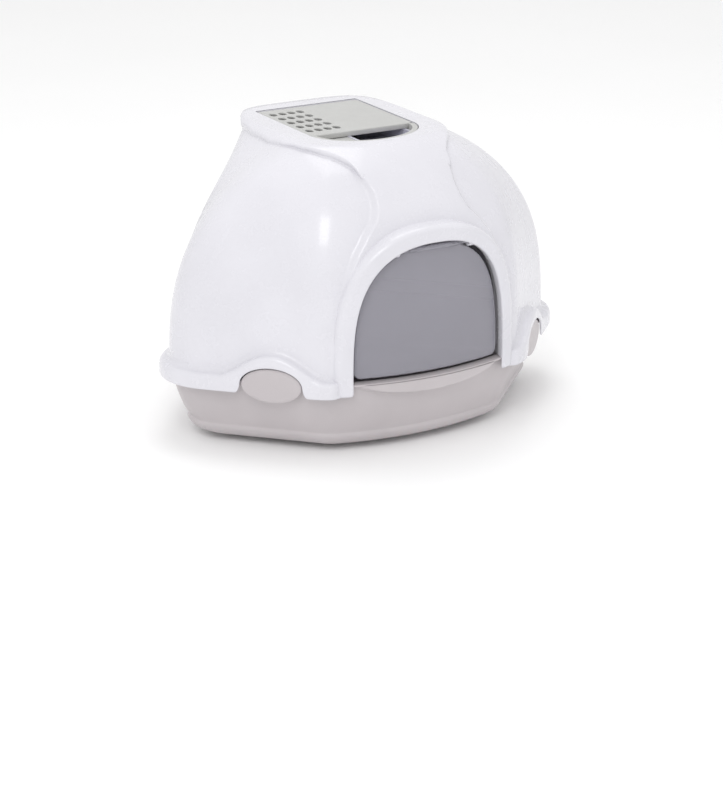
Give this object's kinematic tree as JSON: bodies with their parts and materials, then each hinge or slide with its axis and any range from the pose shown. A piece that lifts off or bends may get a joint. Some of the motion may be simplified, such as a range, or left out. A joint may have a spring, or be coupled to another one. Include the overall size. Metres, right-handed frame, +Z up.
{
  "type": "hooded cat litter box",
  "caption": "Corner litter box for cats: a bowl-shaped pan, a domed hood with a swing flap, side clips and a vented lid over a small compartment.",
  "frame": {"origin": "centre of the bounding box's bottom face, on the floor under the feet", "axes": "+Z up; the door faces -Y; the square plan's rear corner points to +Y; +X is to the right of someone facing the door"},
  "size_m": [0.658, 0.554, 0.436],
  "materials": {
    "hood_white": "gloss moulded polypropylene",
    "pan_grey": "satin gloss moulded polypropylene, warm light grey",
    "clip_grey": "fine satin moulded polypropylene, warm light grey",
    "lid_grey": "fine satin moulded polypropylene, neutral light grey",
    "smoke_clear": "clear smoke-tinted moulded plastic",
    "frost_clear": "translucent moulded polypropylene",
    "charcoal": "matt activated-carbon foam",
    "pin_steel": "drawn steel rod"
  },
  "bodies": {
    "pan": {"pan": "pan_grey", "clip_pin_left": "pin_steel", "clip_pin_right": "pin_steel"},
    "hood": {"hood_shell": "hood_white", "bezel": "lid_grey", "storage_tray": "frost_clear", "filter_holder": "lid_grey", "charcoal_filter": "charcoal", "flap_bush_left": "hood_white", "flap_bush_right": "hood_white"},
    "flap": {"flap_pane": "smoke_clear"},
    "lid": {"lid_panel": "lid_grey", "lid_rod": "pin_steel"},
    "prop": {"prop_strut": "lid_grey", "prop_pin": "pin_steel"},
    "clip_l": {"clip_left": "clip_grey"},
    "clip_r": {"clip_right": "clip_grey"}
  },
  "joints": [
    {"name": "hood_lift", "type": "slide", "parent": "pan", "child": "hood", "axis": [0, 0, 1], "range_m": [0, 0.28]},
    {"name": "flap_swing", "type": "hinge", "parent": "hood", "child": "flap", "pos_m": [0, -0.2625, 0.307], "axis": [1, 0, 0], "range_deg": [-55, 55]},
    {"name": "lid_hinge", "type": "hinge", "parent": "hood", "child": "lid", "pos_m": [0, 0.111, 0.4291], "axis": [-1, 0, 0], "range_deg": [0, 50]},
    {"name": "prop_swing", "type": "hinge", "parent": "lid", "child": "prop", "pos_m": [0.03, -0.049, 0.4291], "axis": [-1, 0, 0], "range_deg": [0, 44.7]},
    {"name": "clip_left_hinge", "type": "hinge", "parent": "pan", "child": "clip_l", "pos_m": [-0.2192, -0.1821, 0.091], "axis": [0.7071, -0.7071, 0], "range_deg": [0, 70]},
    {"name": "clip_right_hinge", "type": "hinge", "parent": "pan", "child": "clip_r", "pos_m": [0.2192, -0.1821, 0.091], "axis": [0.7071, 0.7071, 0], "range_deg": [0, 70]}
  ],
  "couplings": [
    {"joint": "prop_swing", "follows": "lid_hinge", "ratio": 0.894}
  ]
}
